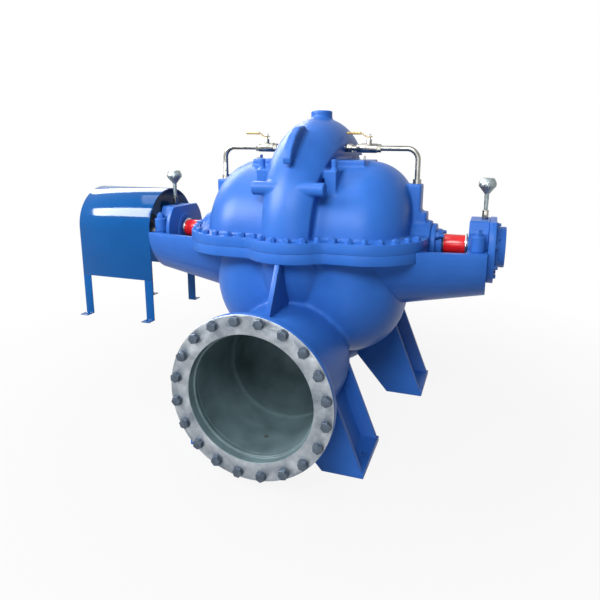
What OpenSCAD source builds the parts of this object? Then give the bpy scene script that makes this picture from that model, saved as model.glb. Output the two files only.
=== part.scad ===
// Horizontal split case pump: a double suction casing parted at the shaft, two nozzles in line,
// a bearing bracket at each end, seal flush pipes with ball valves, and a coupling guard.
// Millimetres. X runs along the shaft, the front nozzle faces -Y, Z is up from the foundation.

/* [Shaft] */
// Height of the shaft above the foundation
shaft_h = 1040; // [1030:1:1050]
// Diameter of the shaft
shaft_d = 90; // [84:1:92]
// Gap round the shaft in its bearings
bearing_gap = 0.08; // [0.03:0.01:0.1]
// Bore through the casing round the shaft
passage_d = 120; // [110:1:130]
// Outer diameter of the painted shaft sleeves
sleeve_d = 104; // [102:1:110]
// Inner end of the shaft sleeves from the middle of the pump
sleeve_x = 721; // [720:1:726]
// Length of the shaft sleeves
sleeve_l = 107; // [96:1:110]

/* [Casing] */
// Half length of the chambers along the shaft
chamber_x = 550; // [543:1:555]
// Radius of the chambers about the shaft
chamber_r = 425; // [415:1:430]
// Radius of the rounded shoulders of the chambers
chamber_corner = 240; // [225:1:255]
// Half length of the chambers below the shaft
lower_x = 530; // [523:1:537]
// Radius of the shoulders below the shaft
lower_corner = 320; // [305:1:335]
// How far the lower chambers are drawn down below a half round
chamber_drop = 215; // [205:1:225]
// Outer radius of the volute
volute_r = 622; // [616:1:626]
// Radius of the volute in section
volute_tube = 185; // [178:1:188]
// Distance of the volute's centre behind the shaft
volute_y = 90; // [84:1:96]
// Height of the volute's centre above the shaft
volute_lift = 35; // [30:1:40]

/* [Split flange] */
// Thickness of each half of the split flange
flange_t = 50; // [46:1:54]
// Width of the split flange in front of and behind the chambers
flange_lip = 65; // [60:1:70]
// Width of the split flange in front of and behind the volute
bulge_lip = 50; // [48:1:54]
// Width of the split flange at the ends of the chambers
flange_end_lip = 100; // [95:1:105]
// Radius of the corners of the split flange
flange_corner = 320; // [310:1:330]
// Radius of the bulges of the flange in front of and behind the volute
bulge_r = 235; // [230:1:240]
// Radius of the hollow curves where the bulges meet the straight sides
bulge_fillet = 80; // [70:1:90]
// Thickness of the gasket between the halves
gasket_t = 2; // [1:0.5:3]

/* [Nozzles] */
// Height of both nozzle axes above the foundation
nozzle_h = 450; // [444:1:456]
// Distance of the nozzle faces from the shaft
nozzle_y = 915; // [900:1:930]
// Outer diameter of the nozzle flanges
nozzle_flange_d = 780; // [776:1:790]
// Thickness of the nozzle flanges
nozzle_flange_t = 40; // [36:1:44]
// Diameter of the nozzle bolt circles
nozzle_pcd = 725; // [722:1:728]
// Number of bolts in each nozzle
nozzle_bolts = 20; // [20:2:24]
// Diameter of the nozzle bolt holes
nozzle_hole_d = 30; // [26:1:32]
// Diameter of the nozzle bores
nozzle_bore_d = 580; // [574:1:586]
// Diameter of the machined mouths of the nozzles
nozzle_mouth_d = 600; // [598:1:604]
// Outer diameter of the nozzle necks
neck_d = 620; // [612:1:628]
// Thickness of the rib over the front neck
rib_t = 22; // [18:1:26]

/* [Feet] */
// Distance of the foundation bolts from the middle, along the shaft
foot_bolt_x = 428; // [424:1:432]
// Distance of the foundation bolts from the shaft, across it
foot_bolt_y = 480; // [474:1:486]
// Diameter of the foundation bolt holes
foot_hole_d = 36; // [32:1:40]
// Length of each foot across the shaft
foot_l = 360; // [350:1:370]
// Inner edge of the front foot pads
front_foot_in = 259; // [252:1:266]
// Outer edge of the front foot pads
front_foot_out = 465; // [462:1:472]
// Inner edge of the rear foot pads
rear_foot_in = 391; // [384:1:394]
// Outer edge of the rear foot pads
rear_foot_out = 612; // [606:1:620]
// Thickness of the foot plates
foot_t = 28; // [26:1:30]

/* [Bearings] */
// Distance of the bracket ends from the middle of the pump
bracket_x = 945; // [940:1:950]
// Outer radius of a bracket at the casing
bracket_r_in = 330; // [324:1:336]
// Outer radius of a bracket at its end
bracket_r_out = 254; // [248:1:258]
// Wall of the brackets
bracket_wall = 35; // [30:1:40]
// Length of the bearing seats
bearing_l = 98; // [94:1:100]
// Height of the bearing caps above the shaft
cap_h = 140; // [136:1:144]
// Width of the bearing caps
cap_w = 200; // [190:1:210]
// Radius of the round end flanges of the bearings
end_flange_r = 190; // [184:1:196]
// Thickness of the round end flanges
end_flange_t = 34; // [30:1:38]
// Thickness of the round inner flange of the left bearing
inner_flange_t = 24; // [20:1:28]
// Radius of the end covers
cover_r = 105; // [100:1:110]
// Length of the end covers
cover_l = 48; // [44:1:52]

/* [Shaft seals] */
// Radius of the stuffing boxes
box_r = 120; // [114:1:124]
// Outer end of the stuffing boxes from the middle of the pump
box_x = 655; // [652:1:658]
// Radius of the gland flanges
gland_r = 105; // [100:1:110]
// Thickness of the gland flanges
gland_flange_t = 25; // [20:1:30]
// Radius of the gland necks
gland_neck_r = 75; // [70:1:80]
// Length of the glands
gland_l = 57; // [54:1:58]

/* [Flush pipes] */
// Height of the flush pipes above the vent pads
pipe_clear = 47; // [44:1:52]
// Outer diameter of the flush pipes
pipe_d = 28; // [24:1:30]
// Radius of the bends
pipe_bend = 60; // [50:1:70]
// Distance of the falling pipes from the middle
pipe_x = 562; // [558:1:570]
// Distance of the valve stems from the middle
valve_x = 298; // [296:1:304]
// Length of the valve levers from their stems
lever_l = 125; // [110:1:127]

/* [Temperature probes] */
// Distance of the probes from the middle of the pump
probe_x = 918; // [914:1:924]
// Height of the probes above the bearing caps
probe_h = 210; // [200:1:230]
// Diameter of the probe heads
probe_head_d = 88; // [80:1:94]

/* [Coupling] */
// Outer end of the coupling half from the middle of the pump
coupling_x = 1255; // [1245:1:1265]
// Length of the coupling half
coupling_l = 145; // [135:1:155]
// Radius of the coupling flange
coupling_r = 150; // [145:1:158]
// Bolt circle of the coupling half
coupling_pcd = 240; // [234:1:244]
// Number of coupling bolts
coupling_bolts = 8; // [6:2:10]
// Diameter of the coupling bolt holes
coupling_hole_d = 24; // [20:1:26]

/* [Coupling guard] */
// Outer radius of the guard's arch
guard_r = 240; // [238:1:244]
// Inner end of the guard from the middle of the pump
guard_x = 950; // [948:1:956]
// Length of the guard along the shaft
guard_l = 503; // [490:1:515]
// Thickness of the guard's sheet
guard_t = 5; // [4:0.5:6]
// Height of the lower edges of the guard's sides
guard_edge_z = 742; // [732:1:752]
// Height of the guard's feet above the pump's foundation
guard_foot_z = 495; // [485:1:505]
// Width of the guard's legs
leg_w = 55; // [50:1:60]

/* [Hidden] */
$fn = 96;
fine = 192;
eps = 0.5;
far = 4000;
left = -1;
right = 1;
front = -1;
rear = 1;

paint = "royalblue";
guard_paint = "steelblue";
sleeve_paint = "crimson";
bare_steel = "silver";
lever_zinc = "goldenrod";
dark_rubber = "dimgray";

shaft_r = shaft_d / 2;
bearing_r = shaft_r + bearing_gap;
lower_top_z = shaft_h - gasket_t / 2;
upper_low_z = shaft_h + gasket_t / 2;

// A shape made round Z, turned to run along +X from x on the shaft line
module on_shaft(x) translate([x, 0, shaft_h]) rotate([0, 90, 0]) children();

// A shape made round Z, turned to run along the front nozzle from its face inwards
module on_nozzle(y) translate([0, -y, nozzle_h]) rotate([-90, 0, 0]) children();

// The children as drawn for the right end, or mirrored to the left end
module at_end(side) mirror([side < 0 ? 1 : 0, 0, 0]) children();

// The children as drawn for the front, or mirrored to the rear
module at_face(face) mirror([0, face > 0 ? 1 : 0, 0]) children();

// A half turn of a profile about a line along X, above that line or below it
module half_turn(above) rotate([0, 90, 0]) rotate([0, 0, above ? 90 : -90])
  rotate_extrude(angle = 180, $fn = fine) children();

// Everything above or below a height
module above(z) translate([-far / 2, -far / 2, z]) cube([far, far, far]);
module below(z) translate([-far / 2, -far / 2, z - far]) cube([far, far, far]);

// A rectangle with round corners, centred, by its half sizes
module round_plan(hx, hy, r) {
  square([2 * hx, 2 * (hy - r)], center = true);
  square([2 * (hx - r), 2 * hy], center = true);
  for (sx = [-1, 1], sy = [-1, 1]) translate([sx * (hx - r), sy * (hy - r)]) circle(r, $fn = fine);
}

// Chambers: a barrel with rounded shoulders, drawn down below the shaft

// Half section of a barrel by its half length and shoulder radius
module chamber_section(x, corner) intersection() {
  round_plan(chamber_r, x, corner);
  translate([0, -x]) square([chamber_r, 2 * x]);
}

module upper_chambers() translate([0, 0, shaft_h]) half_turn(true) chamber_section(chamber_x, chamber_corner);

module lower_chambers() translate([0, 0, shaft_h - chamber_drop]) {
  linear_extrude(chamber_drop) round_plan(lower_x, chamber_r, lower_corner);
  half_turn(false) chamber_section(lower_x, lower_corner);
}

// Volute: a thick ring round the middle of the casing, set behind the shaft

volute_z = shaft_h + volute_lift;

leg_half = 120;
knee_half = 136;
knee_lift = 300;
head_lift = 520;
sole_drop = 240;

// Half outline of the volute's width seen from the front: narrow at the split, full at the top
volute_sides = [
  [volute_tube, -volute_r - eps], [volute_tube, -sole_drop], [leg_half, -volute_lift],
  [knee_half, knee_lift], [volute_tube + eps, head_lift], [volute_tube + eps, volute_r + eps]
];

module volute() translate([0, volute_y, volute_z]) intersection() {
  rotate([0, 90, 0]) rotate_extrude() translate([volute_r - volute_tube, 0]) circle(volute_tube);
  rotate([90, 0, 0]) linear_extrude(2 * volute_r + 2, center = true)
    polygon([
      each volute_sides,
      for (i = [len(volute_sides) - 1 : -1 : 0]) [-volute_sides[i].x, volute_sides[i].y]
    ]);
}

// Split flange: a rounded plate with a bulge in front of and behind the volute

flange_x = chamber_x + flange_end_lip;
flange_y = chamber_r + flange_lip;
front_bulge_y = volute_r - volute_y + bulge_lip - bulge_r;
rear_bulge_y = volute_r + volute_y + bulge_lip - bulge_r;
hollow_steps = 10;
hollow_sink = 5;

// One bulge at a distance y in front of the shaft, with hollow curves into the straight side
module flange_bulge(y) {
  hollow_y = flange_y + bulge_fillet;
  hollow_x = sqrt(pow(bulge_r + bulge_fillet, 2) - pow(hollow_y - y, 2));
  hollow_a = atan2(hollow_y - y, -hollow_x);
  // Right hollow curve from inside the bulge to the straight side
  curve = [for (i = [0 : hollow_steps]) let (a = hollow_a + (90 - hollow_a) * i / hollow_steps)
    [hollow_x, -hollow_y] + (bulge_fillet + (i == 0 ? hollow_sink : 0)) * [cos(a), sin(a)]];
  translate([0, -y]) circle(bulge_r);
  polygon([
    each curve, [hollow_x, 0], [-hollow_x, 0],
    for (i = [hollow_steps : -1 : 0]) [-curve[i].x, curve[i].y]
  ]);
}

module flange_plan() {
  round_plan(flange_x, flange_y, flange_corner);
  flange_bulge(front_bulge_y);
  rotate([0, 0, 180]) flange_bulge(rear_bulge_y);
}

// Nozzle necks: straight, with a round end under the chambers

neck_r = neck_d / 2;
neck_joint_y = 500;
neck_end_y = 400;
passage_step = 8;

// A neck of radius r that starts y in front of the shaft
module neck(r, y) on_nozzle(y) rotate_extrude($fn = fine) {
  square([r, y - neck_end_y]);
  translate([0, y - neck_end_y]) intersection() {
    circle(r, $fn = fine);
    square(r);
  }
}

module stuffing_box(side) at_end(side) on_shaft(chamber_x - chamber_corner)
  cylinder(r = box_r, h = box_x - chamber_x + chamber_corner);

module shaft_passage(r) on_shaft(-far / 2) cylinder(r = r, h = far);

module lower_casing() color(paint) difference() {
  union() {
    lower_chambers();
    volute();
    translate([0, 0, shaft_h - flange_t]) linear_extrude(flange_t) flange_plan();
    for (face = [front, rear]) at_face(face) neck(neck_r, neck_joint_y);
    for (side = [left, right]) stuffing_box(side);
  }
  above(lower_top_z);
  for (face = [front, rear]) at_face(face) {
    neck(nozzle_bore_d / 2 - passage_step, neck_joint_y + eps);
    on_nozzle(nozzle_y) cylinder(r = neck_r, h = nozzle_y - neck_joint_y);
  }
  shaft_passage(passage_d / 2);
}

// Nozzle with its bolted flange, in front of the plane where the neck joins the casing
module nozzle() difference() {
  on_nozzle(nozzle_y) {
    cylinder(d = nozzle_flange_d, h = nozzle_flange_t);
    cylinder(r = neck_r, h = nozzle_y - neck_joint_y);
  }
  on_nozzle(nozzle_y + eps) {
    cylinder(d = nozzle_bore_d, h = nozzle_y);
    cylinder(d = nozzle_mouth_d, h = nozzle_flange_t + eps);
    for (i = [0 : nozzle_bolts - 1]) rotate([0, 0, 90 + (i + 0.5) * 360 / nozzle_bolts])
      translate([nozzle_pcd / 2, 0, 0]) cylinder(d = nozzle_hole_d, h = nozzle_flange_t + 2 * eps);
  }
}

module front_nozzle() color(paint) at_face(front) nozzle();
module rear_nozzle() color(paint) at_face(rear) nozzle();

rib_top_y = 580;
rib_foot_y = 705;

// Rib that stiffens the split flange against the front neck
module front_rib() color(paint) difference() {
  translate([-rib_t / 2, 0, 0]) rotate([90, 0, 90]) linear_extrude(rib_t) polygon([
    [-rib_top_y, shaft_h - flange_t], [-chamber_r, shaft_h - flange_t],
    [-chamber_r, nozzle_h], [-rib_foot_y, nozzle_h], [-rib_foot_y, nozzle_h + neck_r]
  ]);
  on_nozzle(nozzle_y) cylinder(r = neck_r, h = nozzle_y);
  volute();
  lower_chambers();
}

// Bosses, lugs and pads of the upper casing

boss_r = 60;
boss_h = 38;
boss_sink = 60;
module top_boss() translate([0, volute_y, volute_z + volute_r - boss_sink])
  cylinder(r = boss_r, h = boss_sink + boss_h);

hook_t = 44;
// Hook outline as degrees from the top of the volute and height above its skin
hook_line = [
  [28, -4], [31, 40], [36, 66], [42, 76], [49, 74], [53.5, 60],
  [55, 36], [52.5, 16], [48, 6], [44, -40], [31, -40]
];

// Fin on the volute with an undercut lower end that takes a sling
module lifting_hook() translate([-hook_t / 2, volute_y, volute_z]) rotate([90, 0, 90]) linear_extrude(hook_t)
  polygon([for (p = hook_line) (volute_r + p[1]) * [-sin(p[0]), cos(p[0])]]);

trunnion_r = 35;
trunnion_l = 376;
trunnion_a = 63.4;
trunnion_sink = 41;
trunnion_y = (volute_r - trunnion_sink) * sin(trunnion_a) - volute_y;
trunnion_z = volute_z + (volute_r - trunnion_sink) * cos(trunnion_a);
module trunnion() translate([-trunnion_l / 2, -trunnion_y, trunnion_z]) rotate([0, 90, 0])
  cylinder(r = trunnion_r, h = trunnion_l);

pad_x0 = 100;
pad_x1 = 315;
pad_y = 160;
pad_rise = 5;
pad_top_z = shaft_h + chamber_r + pad_rise;
pad_deep = 120;
module vent_pad() translate([pad_x0, -pad_y, pad_top_z - pad_deep])
  cube([pad_x1 - pad_x0, 2 * pad_y, pad_deep]);

lug_x0 = 152;
lug_w = 62;
lug_y = chamber_r - 90;
lug_l = 150;
lug_top_z = shaft_h + chamber_r - 40;
lug_h = 180;
post_r = 16;
post_in = 34;
post_h = 52;
// Box on the dome with a round post on it
module box_lug() translate([lug_x0, -lug_y, lug_top_z]) {
  translate([0, 0, -lug_h]) cube([lug_w, lug_l, lug_h]);
  translate([lug_w - post_r - 4, post_in, -eps]) cylinder(r = post_r, h = post_h + eps);
}

seal_block_x0 = chamber_x - 70;
seal_block_x1 = chamber_x + 42;
seal_block_w = 110;
seal_block_low_z = shaft_h + 80;
seal_block_top_z = shaft_h + 310;
seal_step_x1 = chamber_x + 76;
seal_step_top_z = shaft_h + 165;
module seal_block() {
  translate([seal_block_x0, -seal_block_w / 2, seal_block_low_z])
    cube([seal_block_x1 - seal_block_x0, seal_block_w, seal_block_top_z - seal_block_low_z]);
  translate([seal_block_x0, -seal_block_w / 2, seal_block_low_z])
    cube([seal_step_x1 - seal_block_x0, seal_block_w, seal_step_top_z - seal_block_low_z]);
}

module upper_casing() color(paint) difference() {
  union() {
    upper_chambers();
    volute();
    translate([0, 0, shaft_h]) linear_extrude(flange_t) flange_plan();
    top_boss();
    translate([0, volute_y, 0]) for (face = [front, rear]) at_face(face) translate([0, -volute_y, 0]) {
      lifting_hook();
      trunnion();
    }
    for (side = [left, right]) at_end(side) {
      vent_pad();
      seal_block();
      for (face = [front, rear]) at_face(face) box_lug();
    }
    for (side = [left, right]) stuffing_box(side);
  }
  below(upper_low_z);
  shaft_passage(passage_d / 2);
}

module split_gasket() color(dark_rubber) difference() {
  translate([0, 0, lower_top_z]) linear_extrude(gasket_t) flange_plan();
  shaft_passage(passage_d / 2);
}

// Feet: two upright plates across the shaft, a slanted web between them and a pad

outer_slope = 0.4;
inner_slope = 0.87;
web_inset = 80;
plate_top = shaft_h - 400;
web_top = shaft_h - 570;

// Outline of an upright plate, from the inner to the outer edge of its pad
module foot_outline(x0, x1, top) polygon([
  [x0, 0], [x1, 0], [x1 - outer_slope * top, top], [0, top], [0, x0 / inner_slope]
]);

module foot_web(x1) polygon([
  [x1 - web_inset - foot_t, 0], [x1 - web_inset, 0],
  [x1 - web_inset - outer_slope * web_top, web_top], [x1 - web_inset - foot_t - outer_slope * web_top, web_top]
]);

// An upright sheet of a given outline, from y towards the rear
module upright(y, t) translate([0, y + t, 0]) rotate([90, 0, 0]) linear_extrude(t) children();

// A foot on the right, at the front or the rear, cut where it meets the casing
module foot(face, x0, x1) difference() {
  y0 = face * foot_bolt_y - foot_l / 2;
  union() {
    upright(face > 0 ? y0 : y0 + foot_l - foot_t, foot_t) foot_outline(x0, x1, plate_top);
    upright(face > 0 ? y0 + foot_l - foot_t : y0, foot_t) foot_outline(x0, x1, web_top);
    upright(y0, foot_l) foot_web(x1);
    translate([x0, y0, 0]) cube([x1 - x0, foot_l, foot_t]);
  }
  translate([foot_bolt_x, face * foot_bolt_y, -eps]) cylinder(d = foot_hole_d, h = foot_t + 2 * eps);
  at_face(face) neck(neck_r, nozzle_y);
  lower_chambers();
  volute();
}

module front_left_foot() color(paint) at_end(left) foot(front, front_foot_in, front_foot_out);
module front_right_foot() color(paint) at_end(right) foot(front, front_foot_in, front_foot_out);
module rear_left_foot() color(paint) at_end(left) foot(rear, rear_foot_in, rear_foot_out);
module rear_right_foot() color(paint) at_end(right) foot(rear, rear_foot_in, rear_foot_out);

// Bearing brackets: half cones open at the top, with a solid seat at the end

seat_x = bracket_x - bearing_l;
left_seat_x = seat_x + inner_flange_t;
bracket_root = 190;
bracket_slope = (bracket_r_in - bracket_r_out) / (bracket_x - chamber_x);

// A bracket whose seat starts at x0
module bracket(x0) difference() {
  on_shaft(chamber_x - bracket_root)
    cylinder(r1 = bracket_r_in + bracket_slope * bracket_root, r2 = bracket_r_out,
      h = bracket_x - chamber_x + bracket_root);
  on_shaft(chamber_x - bracket_root - eps)
    cylinder(r1 = bracket_r_in + bracket_slope * bracket_root - bracket_wall,
      r2 = bracket_r_out + bracket_slope * (bracket_x - x0) - bracket_wall,
      h = x0 - chamber_x + bracket_root + eps);
  above(shaft_h);
  on_shaft(x0 - eps) cylinder(r = bearing_r, h = bracket_x - x0 + 2 * eps);
  lower_chambers();
  translate([0, 0, shaft_h - flange_t]) linear_extrude(2 * flange_t) flange_plan();
}

module left_bracket() color(paint) at_end(left) bracket(left_seat_x);
module right_bracket() color(paint) at_end(right) bracket(seat_x);

// Bearing caps: a flat topped block with an ear and a bolt boss on either side

cap_boss_y = 180;
cap_boss_r = 34;
cap_boss_h = 78;
ear_w = 60;
ear_h = 46;
cap_foot_w = 260;
cap_foot_h = 84;

// A cap from x0 to the end of its bracket
module bearing_cap(x0) difference() {
  boss_x = (x0 + bracket_x) / 2;
  translate([0, 0, shaft_h]) {
    translate([x0, 0, 0]) rotate([90, 0, 90]) linear_extrude(bracket_x - x0) polygon([
      [-cap_foot_w / 2, 0], [cap_foot_w / 2, 0], [cap_foot_w / 2, cap_foot_h],
      [cap_w / 2, cap_h], [-cap_w / 2, cap_h], [-cap_foot_w / 2, cap_foot_h]
    ]);
    translate([boss_x - ear_w / 2, -cap_boss_y, 0]) cube([ear_w, 2 * cap_boss_y, ear_h]);
    for (face = [front, rear]) translate([boss_x, face * cap_boss_y, 0])
      cylinder(r = cap_boss_r, h = cap_boss_h);
  }
  on_shaft(x0 - eps) cylinder(r = bearing_r, h = bracket_x - x0 + 2 * eps);
}

module left_bearing_cap() color(paint) at_end(left) bearing_cap(left_seat_x);
module right_bearing_cap() color(paint) at_end(right) bearing_cap(seat_x);

// End flanges and covers: the right flange closes the outer end, the left one stands inside

cover_x = bracket_x + end_flange_t;
cover_ring_r = 125;
cover_ring_t = 11;
cover_bore_r = 52;
cover_wall = 16;

inner_ring_r = 92;
inner_ring_t = 4;

module end_flange(x, t) difference() {
  on_shaft(x) cylinder(r = end_flange_r, h = t);
  above(shaft_h + cap_h);
  shaft_passage(cover_bore_r);
}

module left_end_flange() color(paint) at_end(left) {
  end_flange(seat_x, inner_flange_t);
  difference() {
    on_shaft(seat_x - inner_ring_t) cylinder(r = inner_ring_r, h = inner_ring_t + eps);
    shaft_passage(cover_bore_r);
  }
}
module right_end_flange() color(paint) at_end(right) end_flange(bracket_x, end_flange_t);

// Round cover that starts at x: open for the shaft on the left, closed on the right
module end_cover(x, bore_l) difference() {
  on_shaft(x) {
    cylinder(r = cover_ring_r, h = cover_ring_t);
    cylinder(r = cover_r, h = cover_l);
  }
  on_shaft(x - eps) cylinder(r = cover_bore_r, h = bore_l + eps);
}

module left_end_cover() color(paint) at_end(left) end_cover(bracket_x, cover_l + eps);
module right_end_cover() color(paint) at_end(right) end_cover(cover_x, cover_l - cover_wall);

// Glands: a flange on the stuffing box and a neck round the shaft

gland_bore_r = 51;
module gland() difference() {
  on_shaft(box_x) {
    cylinder(r = gland_r, h = gland_flange_t);
    cylinder(r = gland_neck_r, h = gland_l);
  }
  on_shaft(box_x - eps) cylinder(r = gland_bore_r, h = gland_l + 2 * eps);
}

module left_gland() color(paint) at_end(left) gland();
module right_gland() color(paint) at_end(right) gland();

// Six sided plugs in the vent pads

plug_x = 290;
plug_y = 120;
plug_r = 20;
plug_h = 24;
module vent_plug() translate([plug_x, -plug_y, pad_top_z]) cylinder(r = plug_r, h = plug_h, $fn = 6);
module left_vent_plug() color(bare_steel) at_end(left) vent_plug();
module right_vent_plug() color(bare_steel) at_end(right) vent_plug();

// Flush pipes: from the volute through a ball valve, round a bend and down to the seal block

pipe_drop = 165;
pipe_z = max(pad_top_z + pipe_clear, volute_z + volute_r - pipe_drop);
pipe_r = pipe_d / 2;
pipe_root = 150;
pipe_nut_r = 22;
pipe_nut_l = 24;
pipe_nut_x = 206;
valve_half = 66;
valve_nut_l = 22;
valve_body_r = 25;

module along_pipe(x) translate([x, 0, pipe_z]) rotate([0, 90, 0]) children();

module flush_pipe() {
  // Short piece with its nut on the volute
  difference() {
    union() {
      along_pipe(pipe_root) cylinder(r = pipe_r, h = valve_x - valve_half - pipe_root);
      along_pipe(pipe_root) cylinder(r = pipe_nut_r, h = pipe_nut_x - pipe_root);
    }
    volute();
  }
  // Long piece with its bend and its nut on the seal block
  along_pipe(valve_x + valve_half) cylinder(r = pipe_r, h = pipe_x - pipe_bend - valve_x - valve_half);
  translate([pipe_x - pipe_bend, 0, pipe_z - pipe_bend]) rotate([90, 0, 0])
    rotate_extrude(angle = 90) translate([pipe_bend, 0]) circle(pipe_r);
  difference() {
    translate([pipe_x, 0, seal_block_top_z]) {
      cylinder(r = pipe_r, h = pipe_z - pipe_bend - seal_block_top_z);
      cylinder(r = pipe_nut_r, h = pipe_nut_l);
    }
    upper_chambers();
  }
}

module left_flush_pipe() color(bare_steel) at_end(left) flush_pipe();
module right_flush_pipe() color(bare_steel) at_end(right) flush_pipe();

stem_r = 8;
stem_neck_r = 14;
stem_neck_h = 46;
lever_h = 58;
stem_neck_z = pipe_z + stem_neck_h;
lever_z = pipe_z + lever_h;
lever_t = 7;
stem_top_z = lever_z + lever_t + 10;
lever_hub_r = 17;
lever_w = 24;
stem_gap = 0.1;

module valve() {
  along_pipe(valve_x - valve_half + valve_nut_l)
    cylinder(r = valve_body_r, h = 2 * (valve_half - valve_nut_l));
  for (x = [valve_x - valve_half, valve_x + valve_half - valve_nut_l]) along_pipe(x)
    cylinder(r = pipe_nut_r, h = valve_nut_l, $fn = 6);
  translate([valve_x, 0, pipe_z]) cylinder(r = stem_neck_r, h = stem_neck_z - pipe_z);
  translate([valve_x, 0, pipe_z]) cylinder(r = stem_r, h = stem_top_z - pipe_z);
}

module left_valve() color(bare_steel) at_end(left) valve();
module right_valve() color(bare_steel) at_end(right) valve();

// Lever on the stem at x, lying along the pipe towards the left
module valve_lever(x) translate([x, 0, lever_z]) difference() {
  union() {
    cylinder(r = lever_hub_r, h = lever_t);
    translate([-lever_l, -lever_w / 2, 0]) cube([lever_l, lever_w, lever_t]);
  }
  translate([0, 0, -eps]) cylinder(r = stem_r + stem_gap, h = lever_t + 2 * eps);
}

module left_valve_lever() color(lever_zinc) valve_lever(-valve_x);
module right_valve_lever() color(lever_zinc) valve_lever(valve_x);

// Temperature probes: a six sided nipple, a stem and a mushroom head

cap_top_z = shaft_h + cap_h;
nipple_h = 48;
nipple_r = 16;
probe_stem_r = 10;
probe_throat_r = 12;
probe_throat_h = 130;
probe_brim_h = 170;
probe_brim_top_h = 186;
probe_crown_r = 32;
probe_head_r = probe_head_d / 2;

module probe_nipple() translate([probe_x, 0, cap_top_z]) cylinder(r = nipple_r, h = nipple_h, $fn = 6);
module left_probe_nipple() color(bare_steel) at_end(left) probe_nipple();
module right_probe_nipple() color(bare_steel) at_end(right) probe_nipple();

module probe() translate([probe_x, 0, cap_top_z]) rotate_extrude() polygon([
  [0, nipple_h], [probe_stem_r, nipple_h], [probe_throat_r, probe_throat_h],
  [probe_head_r, probe_brim_h], [probe_head_r, probe_brim_top_h],
  [probe_crown_r, probe_h], [0, probe_h]
]);
module left_probe() color(bare_steel) at_end(left) probe();
module right_probe() color(bare_steel) at_end(right) probe();

// Coupling guard: an arched sheet on four flat legs, clipped to the left bracket

// Arch and straight sides of the guard, filled down to its lower edge
module guard_outline(r) {
  circle(r);
  translate([-r, guard_edge_z - shaft_h]) square([2 * r, shaft_h - guard_edge_z]);
}

module guard_shell() color(guard_paint) translate([-guard_x - guard_l, 0, shaft_h]) rotate([90, 0, 90])
  linear_extrude(guard_l) intersection() {
    difference() {
      guard_outline(guard_r);
      guard_outline(guard_r - guard_t);
      translate([-guard_r + guard_t, guard_edge_z - shaft_h - far])
        square([2 * (guard_r - guard_t), far]);
    }
    translate([-guard_r, guard_edge_z - shaft_h]) square([2 * guard_r, guard_r + shaft_h - guard_edge_z]);
  }

clip_t = 6;
tab_l = 60;
tab_hole_d = 14;

// A flat leg below the guard's front side, with a tab turned out at its foot
module guard_leg(x) {
  translate([x, -guard_r, guard_foot_z]) cube([leg_w, guard_t, guard_edge_z - guard_foot_z]);
  difference() {
    translate([x, -guard_r + guard_t - tab_l, guard_foot_z]) cube([leg_w, tab_l, guard_t]);
    translate([x + leg_w / 2, -guard_r - tab_l / 2, guard_foot_z - eps])
      cylinder(d = tab_hole_d, h = guard_t + 2 * eps);
  }
}

// The far leg of the rear side stands nearer the casing than the one in front
rear_leg_x = 108;
module guard_legs() color(guard_paint) for (face = [front, rear]) at_face(face) {
  guard_leg(-guard_x - guard_l + (face == rear ? rear_leg_x : 0));
  guard_leg(-guard_x - leg_w);
}

clip_l = 65;
clip_w = 28;
clip_low_z = shaft_h - 100;
clip_h = 60;

// Angles that fasten the guard's sides to the end of the left bracket
module guard_clips() color(guard_paint) for (face = [front, rear]) at_face(face)
  translate([-bracket_x - clip_l, -guard_r + guard_t, clip_low_z]) {
    cube([clip_l, clip_t, clip_h]);
    translate([clip_l - clip_t, 0, 0]) cube([clip_t, clip_w, clip_h]);
  }

// Rotor

collar_r = 50;
collar_x = 717;
shaft_right_x = cover_x + cover_l - cover_wall - 6;
slinger_x = 829;
slinger_t = 9;
slinger_r = 60;

module shaft() color(bare_steel) {
  on_shaft(-coupling_x) cylinder(r = shaft_r, h = coupling_x + shaft_right_x);
  for (side = [left, right]) at_end(side) on_shaft(collar_x) cylinder(r = collar_r, h = sleeve_x - collar_x);
}

module ring_on_shaft(x, l, r) difference() {
  on_shaft(x) cylinder(r = r, h = l);
  shaft_passage(shaft_r);
}

module left_shaft_sleeve() color(sleeve_paint) at_end(left) ring_on_shaft(sleeve_x, sleeve_l, sleeve_d / 2);
module right_shaft_sleeve() color(sleeve_paint) at_end(right) ring_on_shaft(sleeve_x, sleeve_l, sleeve_d / 2);
module left_slinger() color(dark_rubber) at_end(left) ring_on_shaft(slinger_x, slinger_t, slinger_r);
module right_slinger() color(dark_rubber) at_end(right) ring_on_shaft(slinger_x, slinger_t, slinger_r);

hub_r = 80;
coupling_flange_t = 40;

// Coupling half: a hub with a drilled flange at its outer end
module coupling_half() color(dark_rubber) at_end(left) difference() {
  union() {
    ring_on_shaft(coupling_x - coupling_l, coupling_l, hub_r);
    ring_on_shaft(coupling_x - coupling_flange_t, coupling_flange_t, coupling_r);
  }
  on_shaft(coupling_x - coupling_flange_t - eps) for (i = [0 : coupling_bolts - 1])
    rotate([0, 0, (i + 0.5) * 360 / coupling_bolts]) translate([coupling_pcd / 2, 0, 0])
      cylinder(d = coupling_hole_d, h = coupling_flange_t + 2 * eps);
}

lower_casing();
front_nozzle();
rear_nozzle();
front_rib();
upper_casing();
split_gasket();
front_left_foot();
front_right_foot();
rear_left_foot();
rear_right_foot();
left_bracket();
right_bracket();
left_bearing_cap();
right_bearing_cap();
left_end_flange();
right_end_flange();
left_end_cover();
right_end_cover();
left_gland();
right_gland();
left_vent_plug();
right_vent_plug();
left_flush_pipe();
right_flush_pipe();
left_valve();
right_valve();
left_probe_nipple();
right_probe_nipple();
left_probe();
right_probe();
guard_shell();
guard_legs();
guard_clips();
left_valve_lever();
right_valve_lever();
shaft();
left_shaft_sleeve();
right_shaft_sleeve();
left_slinger();
right_slinger();
coupling_half();
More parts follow.
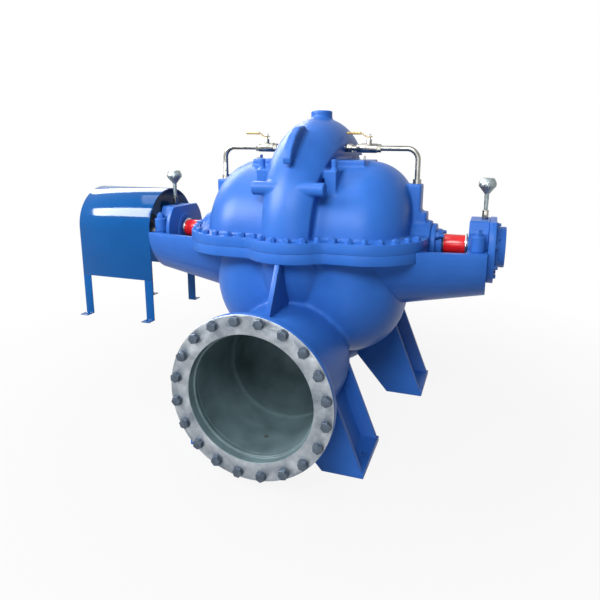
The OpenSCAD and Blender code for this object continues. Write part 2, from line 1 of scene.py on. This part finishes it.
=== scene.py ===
# %% [markdown]
# # Horizontal split case pump
# A double suction water pump, parted along its shaft so that the rotor lifts out without touching the
# pipes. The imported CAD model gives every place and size. This script gives the castings their fillets
# and the machined parts their broken edges, and adds the bolts, levers and finishes.

# %% Load the frame
import math

import bpy
import numpy as np
from mathutils import Matrix, Vector


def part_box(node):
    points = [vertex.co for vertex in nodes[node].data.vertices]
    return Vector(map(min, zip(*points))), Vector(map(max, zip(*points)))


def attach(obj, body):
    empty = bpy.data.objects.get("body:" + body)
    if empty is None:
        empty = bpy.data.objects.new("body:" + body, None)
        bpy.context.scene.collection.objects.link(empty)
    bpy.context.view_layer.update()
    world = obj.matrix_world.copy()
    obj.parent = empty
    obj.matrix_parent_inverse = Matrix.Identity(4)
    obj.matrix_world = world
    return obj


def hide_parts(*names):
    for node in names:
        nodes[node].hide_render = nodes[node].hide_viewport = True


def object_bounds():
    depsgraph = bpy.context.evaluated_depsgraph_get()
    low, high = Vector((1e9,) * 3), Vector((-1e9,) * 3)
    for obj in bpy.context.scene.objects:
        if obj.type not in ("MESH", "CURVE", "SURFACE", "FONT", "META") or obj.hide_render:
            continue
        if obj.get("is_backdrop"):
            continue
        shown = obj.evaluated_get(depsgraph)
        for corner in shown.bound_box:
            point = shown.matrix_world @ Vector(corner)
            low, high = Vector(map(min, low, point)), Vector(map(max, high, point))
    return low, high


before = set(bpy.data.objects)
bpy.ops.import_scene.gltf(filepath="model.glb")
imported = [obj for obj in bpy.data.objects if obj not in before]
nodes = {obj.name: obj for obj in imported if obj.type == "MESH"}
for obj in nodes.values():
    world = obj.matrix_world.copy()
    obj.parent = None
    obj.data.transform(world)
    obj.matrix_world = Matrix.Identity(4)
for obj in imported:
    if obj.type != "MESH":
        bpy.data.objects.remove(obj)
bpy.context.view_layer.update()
print("frame", len(nodes), "nodes")

# %% [markdown]
# ## Camera
# The photograph was taken from the right of the front nozzle, a little above the split, with a
# moderately wide lens. The picture was cropped off centre, so the lens is shifted.

# %% Camera
yaw, pitch, roll = (math.radians(a) for a in (18.28, 12.33, 0.50))
forward = Vector((-math.sin(yaw) * math.cos(pitch), math.cos(yaw) * math.cos(pitch), -math.sin(pitch)))
level = Vector((math.cos(yaw), math.sin(yaw), 0))
upright = level.cross(forward)
across = level * math.cos(roll) + upright * math.sin(roll)
above = upright * math.cos(roll) - level * math.sin(roll)
lens = bpy.data.cameras.new("camera")
lens.sensor_width = 36
lens.lens = 31.8
lens.shift_x, lens.shift_y = -0.0268, -0.0613
camera = bpy.data.objects.new("camera", lens)
bpy.context.scene.collection.objects.link(camera)
stand = Matrix.Translation((0.946, -2.853, 1.534))
camera.matrix_world = stand @ Matrix((across, above, -forward)).transposed().to_4x4()
bpy.context.scene.camera = camera
bpy.context.scene.view_settings.view_transform = "Standard"
print("camera", tuple(round(v, 3) for v in camera.location))

# %% [markdown]
# ## Materials
# Every finish is made from noise in object coordinates, so its grain keeps its real size on any piece.
# Two close colours and a drifting gloss are enough: paint and metal are never quite even.

# %% Material helpers
def rgb(code):
    """A hex colour as linear RGBA."""
    parts = [int(code[i:i + 2], 16) / 255 for i in (1, 3, 5)]
    return [p / 12.92 if p <= 0.04045 else ((p + 0.055) / 1.055) ** 2.4 for p in parts] + [1]


def add(tree, kind, inputs=(), **settings):
    """A node of a kind with its settings, its input values and the sockets linked to its inputs."""
    node = tree.nodes.new(kind)
    for key, value in settings.items():
        setattr(node, key, value)
    for key, value in dict(inputs).items():
        if isinstance(value, bpy.types.NodeSocket):
            tree.links.new(value, node.inputs[key])
        else:
            node.inputs[key].default_value = value
    return node


def finish(
    name, dark, light, grain_mm, rough, spread=0.06, metal=0.0, bump_mm=0.0, bump_grain_mm=6.0, shine=0.5
):
    """A surface that drifts between two colours over grain_mm, with its own gloss and relief."""
    material = bpy.data.materials.new(name)
    material.use_nodes = True
    tree = material.node_tree
    shader = tree.nodes["Principled BSDF"]
    shader.inputs["Metallic"].default_value = metal
    shader.inputs["Specular IOR Level"].default_value = shine
    place = add(tree, "ShaderNodeTexCoord").outputs["Object"]
    cloud = {"Vector": place, "Scale": 1000 / grain_mm, "Detail": 4.0, "Roughness": 0.6}
    drift = add(tree, "ShaderNodeTexNoise", cloud).outputs["Fac"]
    colours = add(tree, "ShaderNodeValToRGB", {"Fac": drift})
    for stop, where, code in zip(colours.color_ramp.elements, (0.3, 0.7), (dark, light)):
        stop.position, stop.color = where, rgb(code)
    tree.links.new(colours.outputs["Color"], shader.inputs["Base Color"])
    limits = {"Value": drift, "To Min": rough - spread, "To Max": rough + spread}
    gloss = add(tree, "ShaderNodeMapRange", limits)
    tree.links.new(gloss.outputs["Result"], shader.inputs["Roughness"])
    if bump_mm:
        pits = {"Vector": place, "Scale": 1000 / bump_grain_mm, "Detail": 3.0}
        relief = add(tree, "ShaderNodeTexNoise", pits)
        bump = add(tree, "ShaderNodeBump", {"Height": relief.outputs["Fac"], "Distance": bump_mm / 1000})
        tree.links.new(bump.outputs["Normal"], shader.inputs["Normal"])
    return material


# %% Finishes
# Sprayed enamel over a sand cast skin: half gloss, with a faint waviness that breaks the highlights.
casing_blue = finish(
    "blue_enamel_on_cast_iron", "#295cab", "#3166b8", 260, 0.38, 0.05,
    bump_mm=0.25, bump_grain_mm=14, shine=0.12,
)
# The same enamel on the edge of the gasket, painted darker as the shade in the joint.
joint_shade_blue = finish("enamel_darkened_as_joint_shade", "#1c3a78", "#244789", 60, 0.5)
# Smooth enamel on sheet steel: deeper, glossier, and it mirrors the lamps as long bands.
guard_blue = finish("gloss_enamel_on_sheet_steel", "#00437d", "#024a88", 400, 0.08, 0.02, shine=0.16)
# Bright red warning enamel on the turning sleeves.
sleeve_red = finish("red_enamel", "#c4141c", "#d81e24", 120, 0.24, 0.04)
# A face turned on a lathe and stained by handling: grey metal with duller patches.
faced_iron = finish("turned_cast_iron", "#6b747f", "#adb3b9", 90, 0.40, 0.08, metal=0.8)
# Blued bolts: dark, with an oily sheen on their corners.
bolt_steel = finish("blued_bolt_steel", "#3c4654", "#55616e", 30, 0.40, 0.08, metal=0.6)
# Ground steel on the shaft, its slingers and the plugs: bright and slightly drawn.
bright_steel = finish("ground_steel", "#b4b6b8", "#d6d6d4", 40, 0.28, 0.06, metal=0.95)
# Drawn stainless tube: a warm grey mirror of a white room.
stainless = finish("stainless_tube", "#74746f", "#9c9b96", 60, 0.22, 0.04, metal=1.0)
# The levers of the ball valves: zinc plated and yellowed.
lever_zinc = finish("yellow_zinc_plate", "#7d6a3c", "#a18b55", 25, 0.36, 0.06, metal=0.4)
# Die cast probe heads: grainy and dull.
alloy = finish(
    "die_cast_aluminium", "#6f7a7c", "#98a2a4", 14, 0.36, 0.08, metal=0.7, bump_mm=0.1, bump_grain_mm=5
)
# The coupling half, oiled and dark, and the disc at the drain hole, whose dark colour is painted shade
# standing for the hole.
coupling_iron_and_hole_shade = finish("machined_cast_iron_and_hole_shade", "#4b4e52", "#63676b", 25, 0.45, 0.08, metal=0.5)
# Primer in the bores: flat grey green with darker runs.
primer = finish(
    "grey_green_primer", "#475a5f", "#5f757b", 150, 0.42, 0.08, bump_mm=0.3, bump_grain_mm=10
)
print("materials", len(bpy.data.materials))

# %% [markdown]
# ## Turning rings
# The tool that faced the flange left a fine spiral. Rings of 4 mm around the bore, far too shallow to
# model, go into the relief of that one finish.

# %% Turning rings
axis_z = 0.45
tree = faced_iron.node_tree
place = add(tree, "ShaderNodeTexCoord").outputs["Object"]
centred = add(tree, "ShaderNodeMapping", {"Vector": place, "Location": (0, 0, -axis_z)})
rings = add(
    tree, "ShaderNodeTexWave",
    {"Vector": centred.outputs["Vector"], "Scale": 78, "Distortion": 1.5, "Detail": 2.0},
    wave_type="RINGS", rings_direction="Y",
)
relief = add(tree, "ShaderNodeBump", {"Height": rings.outputs["Fac"], "Distance": 0.00015})
tree.links.new(relief.outputs["Normal"], tree.nodes["Principled BSDF"].inputs["Normal"])
print("rings on", faced_iron.name)

# %% [markdown]
# ## Studio
# A pale floor and white surroundings. To the eye the floor is white paper with a soft shadow, but it
# throws little light back, so the underside of the pump stays dark.

# %% Studio floor and surroundings
def white_for(tree):
    """1 for rays that show the surroundings to the eye, straight or mirrored, and 0 for rays that light."""
    ray = add(tree, "ShaderNodeLightPath").outputs
    seen = ray["Is Camera Ray"]
    for kind in ("Is Glossy Ray", "Is Transmission Ray"):
        seen = add(tree, "ShaderNodeMath", {0: seen, 1: ray[kind]}, operation="MAXIMUM").outputs[0]
    return seen


bpy.ops.mesh.primitive_plane_add(size=60, location=(0, 0, 0))
floor = bpy.context.object
floor.name = "studio_floor"
paper = bpy.data.materials.new("white_paper")
paper.use_nodes = True
tree = paper.node_tree
shader = tree.nodes["Principled BSDF"]
shader.inputs["Base Color"].default_value = rgb("#8c8c8c")
shader.inputs["Roughness"].default_value = 0.9
place = add(tree, "ShaderNodeTexCoord").outputs["Object"]
away = add(tree, "ShaderNodeVectorMath", {0: place}, operation="LENGTH").outputs["Value"]
fade = {"Value": away, "From Min": 1.2, "From Max": 3.2, "To Min": 0.9, "To Max": 1.0}
faded = add(tree, "ShaderNodeMapRange", fade).outputs["Result"]
share = add(tree, "ShaderNodeMath", {0: white_for(tree), 1: faded}, operation="MULTIPLY")
glow = add(tree, "ShaderNodeEmission", {"Color": (1, 1, 1, 1), "Strength": 1.0})
blend = add(tree, "ShaderNodeMixShader", {0: share.outputs[0], 1: shader.outputs[0], 2: glow.outputs[0]})
tree.links.new(blend.outputs[0], tree.nodes["Material Output"].inputs["Surface"])
floor.data.materials.append(paper)
floor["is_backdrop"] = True

world = bpy.data.worlds.new("studio")
bpy.context.scene.world = world
world.use_nodes = True
tree = world.node_tree
sky = tree.nodes["Background"]
sky.inputs["Color"].default_value = (1, 1, 1, 1)
strength = add(tree, "ShaderNodeMapRange", {"Value": white_for(tree), "To Min": 0.12, "To Max": 1.0})
tree.links.new(strength.outputs["Result"], sky.inputs["Strength"])
print("floor and surroundings", floor.name, world.name)

# %% [markdown]
# Two long soft lights high on the left come with boards that the rounded guard mirrors as bands. The
# main light is high in front, with weak ones overhead and low in front, which reaches into the bore.

# %% Studio lights
def lamp(name, place, target, length, width, watts, mirrored_only=False):
    """A soft light that faces a target, its length level, or a board that shows only in gloss."""
    data = bpy.data.lights.new(name, "AREA")
    data.shape = "RECTANGLE"
    data.size, data.size_y, data.energy = length, width, watts
    obj = bpy.data.objects.new(name, data)
    bpy.context.scene.collection.objects.link(obj)
    obj.location = place
    obj.rotation_euler = (Vector(target) - Vector(place)).to_track_quat("-Z", "Y").to_euler()
    obj.visible_diffuse = not mirrored_only


lamp("key", (-4.4, -3.0, 3.8), (-4.4, 0, 0.9), 4.8, 1.8, 310)
lamp("front_board", (-4.4, -3.04, 3.84), (-4.4, 0, 0.9), 4.8, 1.8, 1000, mirrored_only=True)
lamp("rear", (-4.0, 2.6, 4.0), (-4.0, 0, 0.9), 4.8, 2.0, 80)
lamp("rear_board", (-4.0, 2.64, 4.04), (-4.0, 0, 0.9), 4.8, 2.0, 270, mirrored_only=True)
lamp("overhead", (-1.7, -0.3, 5.3), (0, 0, 0.9), 2.4, 2.4, 90)
lamp("high", (0.2, -4.6, 4.2), (0, 0, 1.1), 3.0, 1.6, 290)
lamp("front", (0.8, -6.0, 1.5), (0, 0, 0.9), 3.0, 1.6, 60)
print("studio lights", len(bpy.data.lights))

# %% [markdown]
# ## Castings
# A sand casting has no sharp inner corners: every hollow is filled to a fillet and every outer edge is
# a little round. The CAD solids are fused by a fine remesh, the hollows alone are smoothed hard, and
# the whole skin is then smoothed lightly.

# %% Object helpers
def alone(*objs):
    """Selects just these objects, the first one active."""
    bpy.ops.object.select_all(action="DESELECT")
    for o in objs:
        o.select_set(True)
    bpy.context.view_layer.objects.active = objs[0]


def apply(obj, kind, **settings):
    """Adds a modifier, sets it and applies it."""
    alone(obj)
    mod = obj.modifiers.new(kind.lower(), kind)
    for key, value in settings.items():
        setattr(mod, key, value)
    bpy.ops.object.modifier_apply(modifier=mod.name)


def merged_copy(node, name=None):
    """A copy of a CAD node with its own mesh, its loose triangles welded together."""
    obj = nodes[node].copy()
    obj.data = nodes[node].data.copy()
    obj.name = name or node + "_look"
    obj.parent = None
    obj.matrix_world = Matrix.Identity(4)
    bpy.context.scene.collection.objects.link(obj)
    obj.hide_viewport = obj.hide_render = False
    alone(obj)
    bpy.ops.object.mode_set(mode="EDIT")
    bpy.ops.mesh.select_all(action="SELECT")
    bpy.ops.mesh.remove_doubles(threshold=0.00002)
    bpy.ops.mesh.dissolve_limited(angle_limit=math.radians(0.2))
    bpy.ops.object.mode_set(mode="OBJECT")
    return obj


def joined(name, objs):
    """Several objects as one."""
    alone(*objs)
    if len(objs) > 1:
        bpy.ops.object.join()
    obj = bpy.context.object
    obj.name = name
    return obj


def paint(obj, *materials):
    """Gives an object these materials in place of the ones it came with."""
    obj.data.materials.clear()
    for m in materials:
        obj.data.materials.append(m)


def crisp(obj, width_mm):
    """Breaks the sharp edges of a machined piece and shades it smooth between them."""
    if width_mm:
        apply(
            obj, "BEVEL", width=width_mm / 1000, segments=2, limit_method="ANGLE",
            angle_limit=math.radians(40), use_clamp_overlap=True,
        )
    alone(obj)
    bpy.ops.object.shade_smooth_by_angle(angle=math.radians(35))


def done(obj, slot, body, *replaced):
    """Hides the nodes a finished piece stands for and attaches it to the body it rides on. The slot is not
    used.
    """
    if replaced:
        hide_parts(*replaced)
    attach(obj, body)


# %% Casting helpers
def points_of(obj):
    """The vertices of a mesh as an array."""
    values = np.empty(len(obj.data.vertices) * 3)
    obj.data.vertices.foreach_get("co", values)
    return values.reshape(-1, 3)


def fill_hollows(obj, rounds, reach_mm, spared):
    """Smooths only where the skin is hollow, outside the spared heights, which leaves a fillet."""
    before = points_of(obj)
    normals = np.empty(len(before) * 3)
    obj.data.vertices.foreach_get("normal", normals)
    trial = obj.copy()
    trial.data = obj.data.copy()
    bpy.context.scene.collection.objects.link(trial)
    apply(trial, "SMOOTH", factor=0.5, iterations=24)
    lift = ((points_of(trial) - before) * normals.reshape(-1, 3)).sum(axis=1) * 1000
    bpy.data.meshes.remove(trial.data)
    lift[(before[:, 2] > spared[0]) & (before[:, 2] < spared[1])] = 0
    group = obj.vertex_groups.new(name="hollows")
    steps = 10
    for step in range(1, steps + 1):
        low, high = reach_mm * (step - 0.5) / steps, reach_mm * (step + 0.5) / steps
        near = np.nonzero((lift > low) & ((lift <= high) | (step == steps)))[0]
        group.add(near.tolist(), step / steps, "REPLACE")
    apply(obj, "SMOOTH", factor=0.5, iterations=rounds, vertex_group="hollows")
    obj.vertex_groups.clear()


def cast(obj, voxel_mm, rounds, reach_mm, skin, spared=(9, 9), most=190000):
    """Fuses an object's solids into one skin with fillets, below a number of triangles."""
    apply(obj, "REMESH", mode="VOXEL", voxel_size=voxel_mm / 1000)
    fill_hollows(obj, rounds, reach_mm, spared)
    apply(obj, "SMOOTH", factor=0.5, iterations=skin)
    count = 2 * len(obj.data.polygons)
    if count > most:
        apply(obj, "DECIMATE", ratio=most / count)
    obj.data.polygons.foreach_set("use_smooth", [True] * len(obj.data.polygons))
    print(obj.name, "triangles", min(count, most))


# %% [markdown]
# ## Nozzles
# The flange of each nozzle is turned on a lathe, so it stays crisp: it is cut off its neck, its face is
# bare metal and its bore has primer. The necks go into the lower casting.

# %% Nozzle flanges
face_y = 0.915
edge_y = 0.912
neck_end = 0.862
ring_start = 0.856
bore_r = 0.302
necks = []


def cut(obj, y, keep_front):
    """Cuts an object at a plane across Y, closes the cut and keeps one side."""
    alone(obj)
    bpy.ops.object.mode_set(mode="EDIT")
    bpy.ops.mesh.select_all(action="SELECT")
    bpy.ops.mesh.bisect(
        plane_co=(0, y, 0), plane_no=(0, 1, 0), use_fill=True,
        clear_outer=keep_front, clear_inner=not keep_front,
    )
    bpy.ops.object.mode_set(mode="OBJECT")


for node, side in (("front_nozzle", -1), ("rear_nozzle", 1)):
    neck = merged_copy(node, node + "_neck")
    cut(neck, side * neck_end, side > 0)
    necks.append(neck)
    ring = merged_copy(node, node + "_flange")
    cut(ring, side * ring_start, side < 0)
    paint(ring, casing_blue, faced_iron, primer)
    crisp(ring, 2.5)
    for face in ring.data.polygons:
        corners = [ring.data.vertices[v].co for v in face.vertices]
        in_bore = max(math.hypot(c.x, c.z - axis_z) for c in corners) < bore_r
        on_face = min(side * c.y for c in corners) > edge_y
        face.material_index = 2 if in_bore else 1 if on_face else 0
    done(ring, "casing_blue", "pump")
    print(ring.name, len(ring.data.polygons))

# %% [markdown]
# ## Casing halves
# Each half is one sand casting. Its split flange is milled flat and has a clean edge, so two plates in
# the outline of the gasket lie over the soft flange edges of the castings.

# %% Lower casting
dome_y = 0.4
passage_end = 0.1
lower = joined("lower_casting", [merged_copy("lower_casing")] + necks)
cast(lower, voxel_mm=8, rounds=40, reach_mm=5, skin=4, spared=(0.993, 1.05))
paint(lower, casing_blue, primer)
for face in lower.data.polygons:
    c = face.center
    from_axis = math.hypot(c.x, c.z - axis_z, min(0, abs(c.y) - dome_y))
    if from_axis < bore_r and abs(c.y) > passage_end:
        face.material_index = 1
done(lower, "casing_blue", "pump", "lower_casing", "front_nozzle", "rear_nozzle")

# %% Upper casting
upper = joined("upper_casting", [merged_copy("upper_casing")])
cast(upper, voxel_mm=6.2, rounds=36, reach_mm=5, skin=3, spared=(1.03, 1.087))
paint(upper, casing_blue)
done(upper, "casing_blue", "pump", "upper_casing")

# %% Split flange
split_low, split_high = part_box("split_gasket")
flange_top = 1.09
flange_foot = 0.99
skin = 0.0006
stand_out = 0.002
for name, under, over in (
    ("upper_split_flange", split_high.z, flange_top + skin),
    ("lower_split_flange", flange_foot - skin, split_low.z),
):
    plate = merged_copy("split_gasket", name)
    for v in plate.data.vertices:
        v.co.xy += Vector(v.normal.xy).normalized() * stand_out
        v.co.z = over if v.co.z > (split_low.z + split_high.z) / 2 else under
    crisp(plate, 3)
    paint(plate, casing_blue)
    done(plate, "casing_blue", "pump")
# The gasket edge gets the enamel painted darker as the shade in the joint.
paint(nodes["split_gasket"], joint_shade_blue)
print("split flange plates", split_low.z, split_high.z)

# %% Bearing caps
for node in ("left_bearing_cap", "right_bearing_cap"):
    cap = joined(node + "_casting", [merged_copy(node)])
    cast(cap, voxel_mm=4, rounds=100, reach_mm=3, skin=3)
    paint(cap, casing_blue)
    done(cap, "casing_blue", "pump", node)

# %% [markdown]
# ## Plates and machined parts
# Plates, turned parts and sheet keep their CAD shape. A small bevel on every sharp edge catches the
# light, as a broken edge does on the real part.

# %% Plates and machined parts
def machined(node, material, slot, body, width_mm):
    """A bevelled copy of a CAD node."""
    obj = merged_copy(node)
    crisp(obj, width_mm)
    paint(obj, material)
    done(obj, slot, body, node)


for node in ("front_left_foot", "front_right_foot", "rear_left_foot", "rear_right_foot", "front_rib"):
    machined(node, casing_blue, "casing_blue", "pump", 3)
for end in ("left", "right"):
    machined(end + "_bracket", casing_blue, "casing_blue", "pump", 5)
    machined(end + "_end_flange", casing_blue, "casing_blue", "pump", 3)
    machined(end + "_end_cover", casing_blue, "casing_blue", "pump", 4)
    machined(end + "_gland", casing_blue, "casing_blue", "pump", 3)
    machined(end + "_vent_plug", bright_steel, "bright_steel", "pump", 1.5)
    machined(end + "_flush_pipe", stainless, "stainless_tube", "pump", 0)
    machined(end + "_valve", stainless, "bright_steel", "pump", 1.5)
    machined(end + "_probe_nipple", stainless, "stainless_tube", "pump", 1)
    machined(end + "_probe", alloy, "probe_alloy", "pump", 3)
    machined(end + "_shaft_sleeve", sleeve_red, "sleeve_red", "rotor", 3)
    machined(end + "_slinger", bright_steel, "bright_steel", "rotor", 2)
for node in ("guard_shell", "guard_legs", "guard_clips"):
    machined(node, guard_blue, "guard_blue", "pump", 1.2)
machined("shaft", bright_steel, "bright_steel", "rotor", 2)
machined("coupling_half", coupling_iron_and_hole_shade, "cast_iron", "rotor", 4)
print("machined parts done")

# %% [markdown]
# ## Bolts and nuts
# One bolt head or nut is shaped from a six sided prism with its top corners broken, on a round washer,
# and copied to every place. The nozzle bolts are blued; the nuts on the casing were painted with it.

# %% Bolt helpers
def pick_face(obj, index):
    """Leaves an object in edit mode with one face selected."""
    bpy.ops.object.mode_set(mode="EDIT")
    bpy.ops.mesh.select_mode(type="FACE")
    bpy.ops.mesh.select_all(action="DESELECT")
    bpy.ops.object.mode_set(mode="OBJECT")
    obj.data.polygons[index].select = True
    bpy.ops.object.mode_set(mode="EDIT")


def prism(sides, radius, low, high, edge):
    """An upright prism with its top edge broken."""
    bpy.ops.mesh.primitive_cylinder_add(
        vertices=sides, radius=radius, depth=high - low, location=(0, 0, (low + high) / 2)
    )
    obj = bpy.context.object
    bpy.ops.object.transform_apply(location=True)
    pick_face(obj, max(range(len(obj.data.polygons)), key=lambda i: obj.data.polygons[i].center.z))
    bpy.ops.mesh.bevel(offset=edge, segments=2, affect="EDGES")
    bpy.ops.object.mode_set(mode="OBJECT")
    return obj


def bolt(across_mm, height_mm, washer_mm, stud_mm=0, stud_up_mm=0):
    """A hexagon on a washer, and the end of its stud if it is a nut."""
    washer_t = 0.004
    # The width across the flats in mm for each metre of the radius to the corners.
    flats_per_radius = 1732
    top = washer_t + height_mm / 1000
    parts = [
        prism(6, across_mm / flats_per_radius, washer_t, top, edge=0.0022),
        prism(32, washer_mm / 2000, 0, washer_t, edge=0.0008),
    ]
    if stud_mm:
        stud_top = washer_t + (height_mm + stud_up_mm) / 1000
        parts.append(prism(20, stud_mm / 2000, washer_t, stud_top, edge=0.002))
    return joined("bolt", parts)


def scatter(name, proto, spots, material, slot, body="pump"):
    """Copies of a bolt at (point, axis) places, each turned a little further, as one piece."""
    further = 0.7
    copies = []
    for i, (point, axis) in enumerate(spots):
        o = proto.copy()
        o.data = proto.data.copy()
        bpy.context.scene.collection.objects.link(o)
        lean = Vector(axis).to_track_quat("Z", "Y").to_matrix().to_4x4()
        o.matrix_world = Matrix.Translation(point) @ lean @ Matrix.Rotation(further * i, 4, "Z")
        copies.append(o)
    obj = joined(name, copies)
    alone(obj)
    bpy.ops.object.transform_apply(location=True, rotation=True, scale=True)
    bpy.ops.object.shade_smooth_by_angle(angle=math.radians(30))
    paint(obj, material)
    done(obj, slot, body)
    bpy.data.meshes.remove(proto.data)
    print(name, len(spots))


def polar(radius, angle):
    """The two coordinates of a point on a circle, from an angle in degrees."""
    return radius * math.cos(math.radians(angle)), radius * math.sin(math.radians(angle))


# %% Nozzle bolts
bolt_count = 20
pcd_r = 0.3625
for side, name in ((-1, "front"), (1, "rear")):
    spots = []
    for i in range(bolt_count):
        x, up = polar(pcd_r, (i + 0.5) * 360 / bolt_count)
        spots.append(((x, side * face_y, axis_z + up), (0, side, 0)))
    scatter(name + "_nozzle_bolts", bolt(41, 17, 50), spots, bolt_steel, "cast_iron")

# %% Drain hole, a disc of painted shade
wall_r = 0.29
drain_hole_y = -0.71
drain_hole_angle = 268
x, up = polar(1, drain_hole_angle)
outward = Vector((x, 0, up))
spot = Vector((0, drain_hole_y, axis_z)) + wall_r * outward
# A thin dark disc on the bore wall stands for the drain hole; its dark colour is painted shade.
hole_shade_disc = prism(sides=24, radius=0.011, low=-0.002, high=0.003, edge=0.001)
scatter("drain_hole_shade_disc", hole_shade_disc, [(spot, -outward)], coupling_iron_and_hole_shade, "cast_iron")

# %% [markdown]
# The nuts of the split flange follow its outline at a fixed distance from the edge. Half of each side is
# drawn as arcs, from the bulge over the nozzle to the end of the flange, and mirrored.

# %% Split flange nuts
flange_x, flange_y, flange_corner = 0.65, 0.49, 0.32
bulge_r, bulge_fillet = 0.235, 0.08
bulge_ys = {-1: 0.347, 1: 0.527}
inset = 0.026
nut_step = 0.076
bearing_half = 0.2


def arc(x, y, radius, start, end, count):
    """Points on an arc between two angles, both ends included."""
    turn = [start + (end - start) * i / count for i in range(count + 1)]
    return [(x + radius * math.cos(a), y + radius * math.sin(a)) for a in turn]


def bolt_line(bulge_y):
    """Line from the middle of a bulge to the end of the flange, for X above 0, with Y away from the shaft."""
    hollow_y = flange_y + bulge_fillet
    hollow_x = math.sqrt((bulge_r + bulge_fillet) ** 2 - (hollow_y - bulge_y) ** 2)
    meet = math.atan2(hollow_y - bulge_y, hollow_x)
    corner = flange_corner - inset
    corner_x, corner_y = flange_x - flange_corner, flange_y - flange_corner
    return [
        *arc(0, bulge_y, bulge_r - inset, math.pi / 2, meet, 60),
        *arc(hollow_x, hollow_y, bulge_fillet + inset, meet + math.pi, 1.5 * math.pi, 30)[1:],
        *arc(corner_x, corner_y, corner, math.pi / 2, 0, 60),
        (flange_x - inset, 0),
    ]


def spaced(line, step):
    """Points along a line at about equal steps, the first one half a step in."""
    lengths = [math.dist(a, b) for a, b in zip(line, line[1:])]
    count = round(sum(lengths) / step)
    step = sum(lengths) / count
    spots, goal, gone = [], step / 2, 0
    for a, b, l in zip(line, line[1:], lengths):
        while l and goal <= gone + l:
            t = (goal - gone) / l
            spots.append((a[0] + t * (b[0] - a[0]), a[1] + t * (b[1] - a[1])))
            goal += step
        gone += l
    return spots


nut_spots = []
for face, bulge_y in bulge_ys.items():
    for x, y in spaced(bolt_line(bulge_y), nut_step):
        if y > bearing_half:
            nut_spots += [((side * x, face * y, flange_top), (0, 0, 1)) for side in (-1, 1)]
scatter("split_flange_nuts", bolt(34, 16, 42, 22, 4), nut_spots, casing_blue, "casing_blue")

# %% Bearing and gland nuts
shaft_z = 1.04
boss_y, boss_top = 0.18, 1.118
gland_x, gland_r, stud_a = 0.68, 0.09, 0.6
for side, end in ((-1, "left"), (1, "right")):
    low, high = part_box(end + "_bearing_cap")
    mid = (low.x + high.x) / 2
    bosses = [((mid, y, boss_top), (0, 0, 1)) for y in (-boss_y, boss_y)]
    scatter(end + "_cap_nuts", bolt(36, 20, 46, 24, 8), bosses, casing_blue, "casing_blue")
    studs = []
    for a in (stud_a, math.pi - stud_a):
        studs.append(((side * gland_x, gland_r * math.cos(a), shaft_z + gland_r * math.sin(a)), (side, 0, 0)))
    scatter(end + "_gland_nuts", bolt(30, 16, 36, 20, 24), studs, casing_blue, "casing_blue")

# %% Right end screws
flange_angles = (-150, -110, -70, -30, 10, 170)
cover_angles = range(30, 390, 60)
for name, x, radius, size, angles in (
    ("flange", 0.979, 0.155, (20, 8, 24), flange_angles),
    ("cover", 0.99, 0.115, (13, 6, 17), cover_angles),
):
    spots = []
    for a in angles:
        y, up = polar(radius, a)
        spots.append(((x, y, shaft_z + up), (1, 0, 0)))
    scatter("right_" + name + "_screws", bolt(*size), spots, casing_blue, "casing_blue")

# %% [markdown]
# ## Valve levers
# Each ball valve has a pressed steel lever: a flat strip cranked up from its hub, with a wider grip. It
# is drawn out of a small block by extruding its end face.

# %% Valve levers
def drawn_out(name, start, size, steps):
    """A block at start, its -X face drawn out by (dx, dz) steps with a new width each."""
    bpy.ops.mesh.primitive_cube_add(size=1, location=start)
    obj = bpy.context.object
    obj.name = name
    obj.scale = size
    bpy.ops.object.transform_apply(location=True, rotation=True, scale=True)
    for dx, dz, grow in steps:
        end = min(obj.data.polygons, key=lambda f: f.center.x if f.normal.x < -0.5 else 9)
        moved = (end.center.x + dx, end.center.y, end.center.z + dz)
        pick_face(obj, end.index)
        bpy.ops.mesh.extrude_region_move(TRANSFORM_OT_translate={"value": (dx, 0, dz)})
        if grow != 1:
            bpy.ops.transform.resize(value=(1, grow, 1), center_override=moved)
        bpy.ops.object.mode_set(mode="OBJECT")
    return obj


hub = 0.017
thick = 0.005
grip_away, grip_up = 0.046, 0.0195
strip_size = (0.03, 0.026, thick)
strip_steps = [(-0.012, 0.006, 0.8), (-0.012, 0.01, 0.95), (-0.082, 0.002, 1.0)]
grip_size = (0.004, 0.024, 0.013)
grip_steps = [(-0.02, 0.0005, 1.15), (-0.051, 0.001, 1.0), (-0.005, 0, 0.7)]
for node, body in (("left_valve_lever", "left_lever"), ("right_valve_lever", "right_lever")):
    low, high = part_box(node)
    x, z = high.x - hub, low.z
    strip = drawn_out(node + "_strip", (x, 0, z + thick / 2), strip_size, strip_steps)
    grip = drawn_out(node + "_grip", (x - grip_away, 0, z + grip_up), grip_size, grip_steps)
    for obj, width in ((strip, 1.2), (grip, 3)):
        paint(obj, lever_zinc)
        crisp(obj, width)
    done(joined(node + "_look", [strip, grip]), "lever_yellow", body, node)
    nut = [((x, 0, z + thick), (0, 0, 1))]
    scatter(node + "_nut", bolt(17, 9, 20, 10, 3), nut, bright_steel, "bright_steel", body)

# %% [markdown]
# ## Size
# The dressed pump keeps the size of the CAD model. Only the heads of the nozzle bolts stand proud.

# %% Size and finish
low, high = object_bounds()
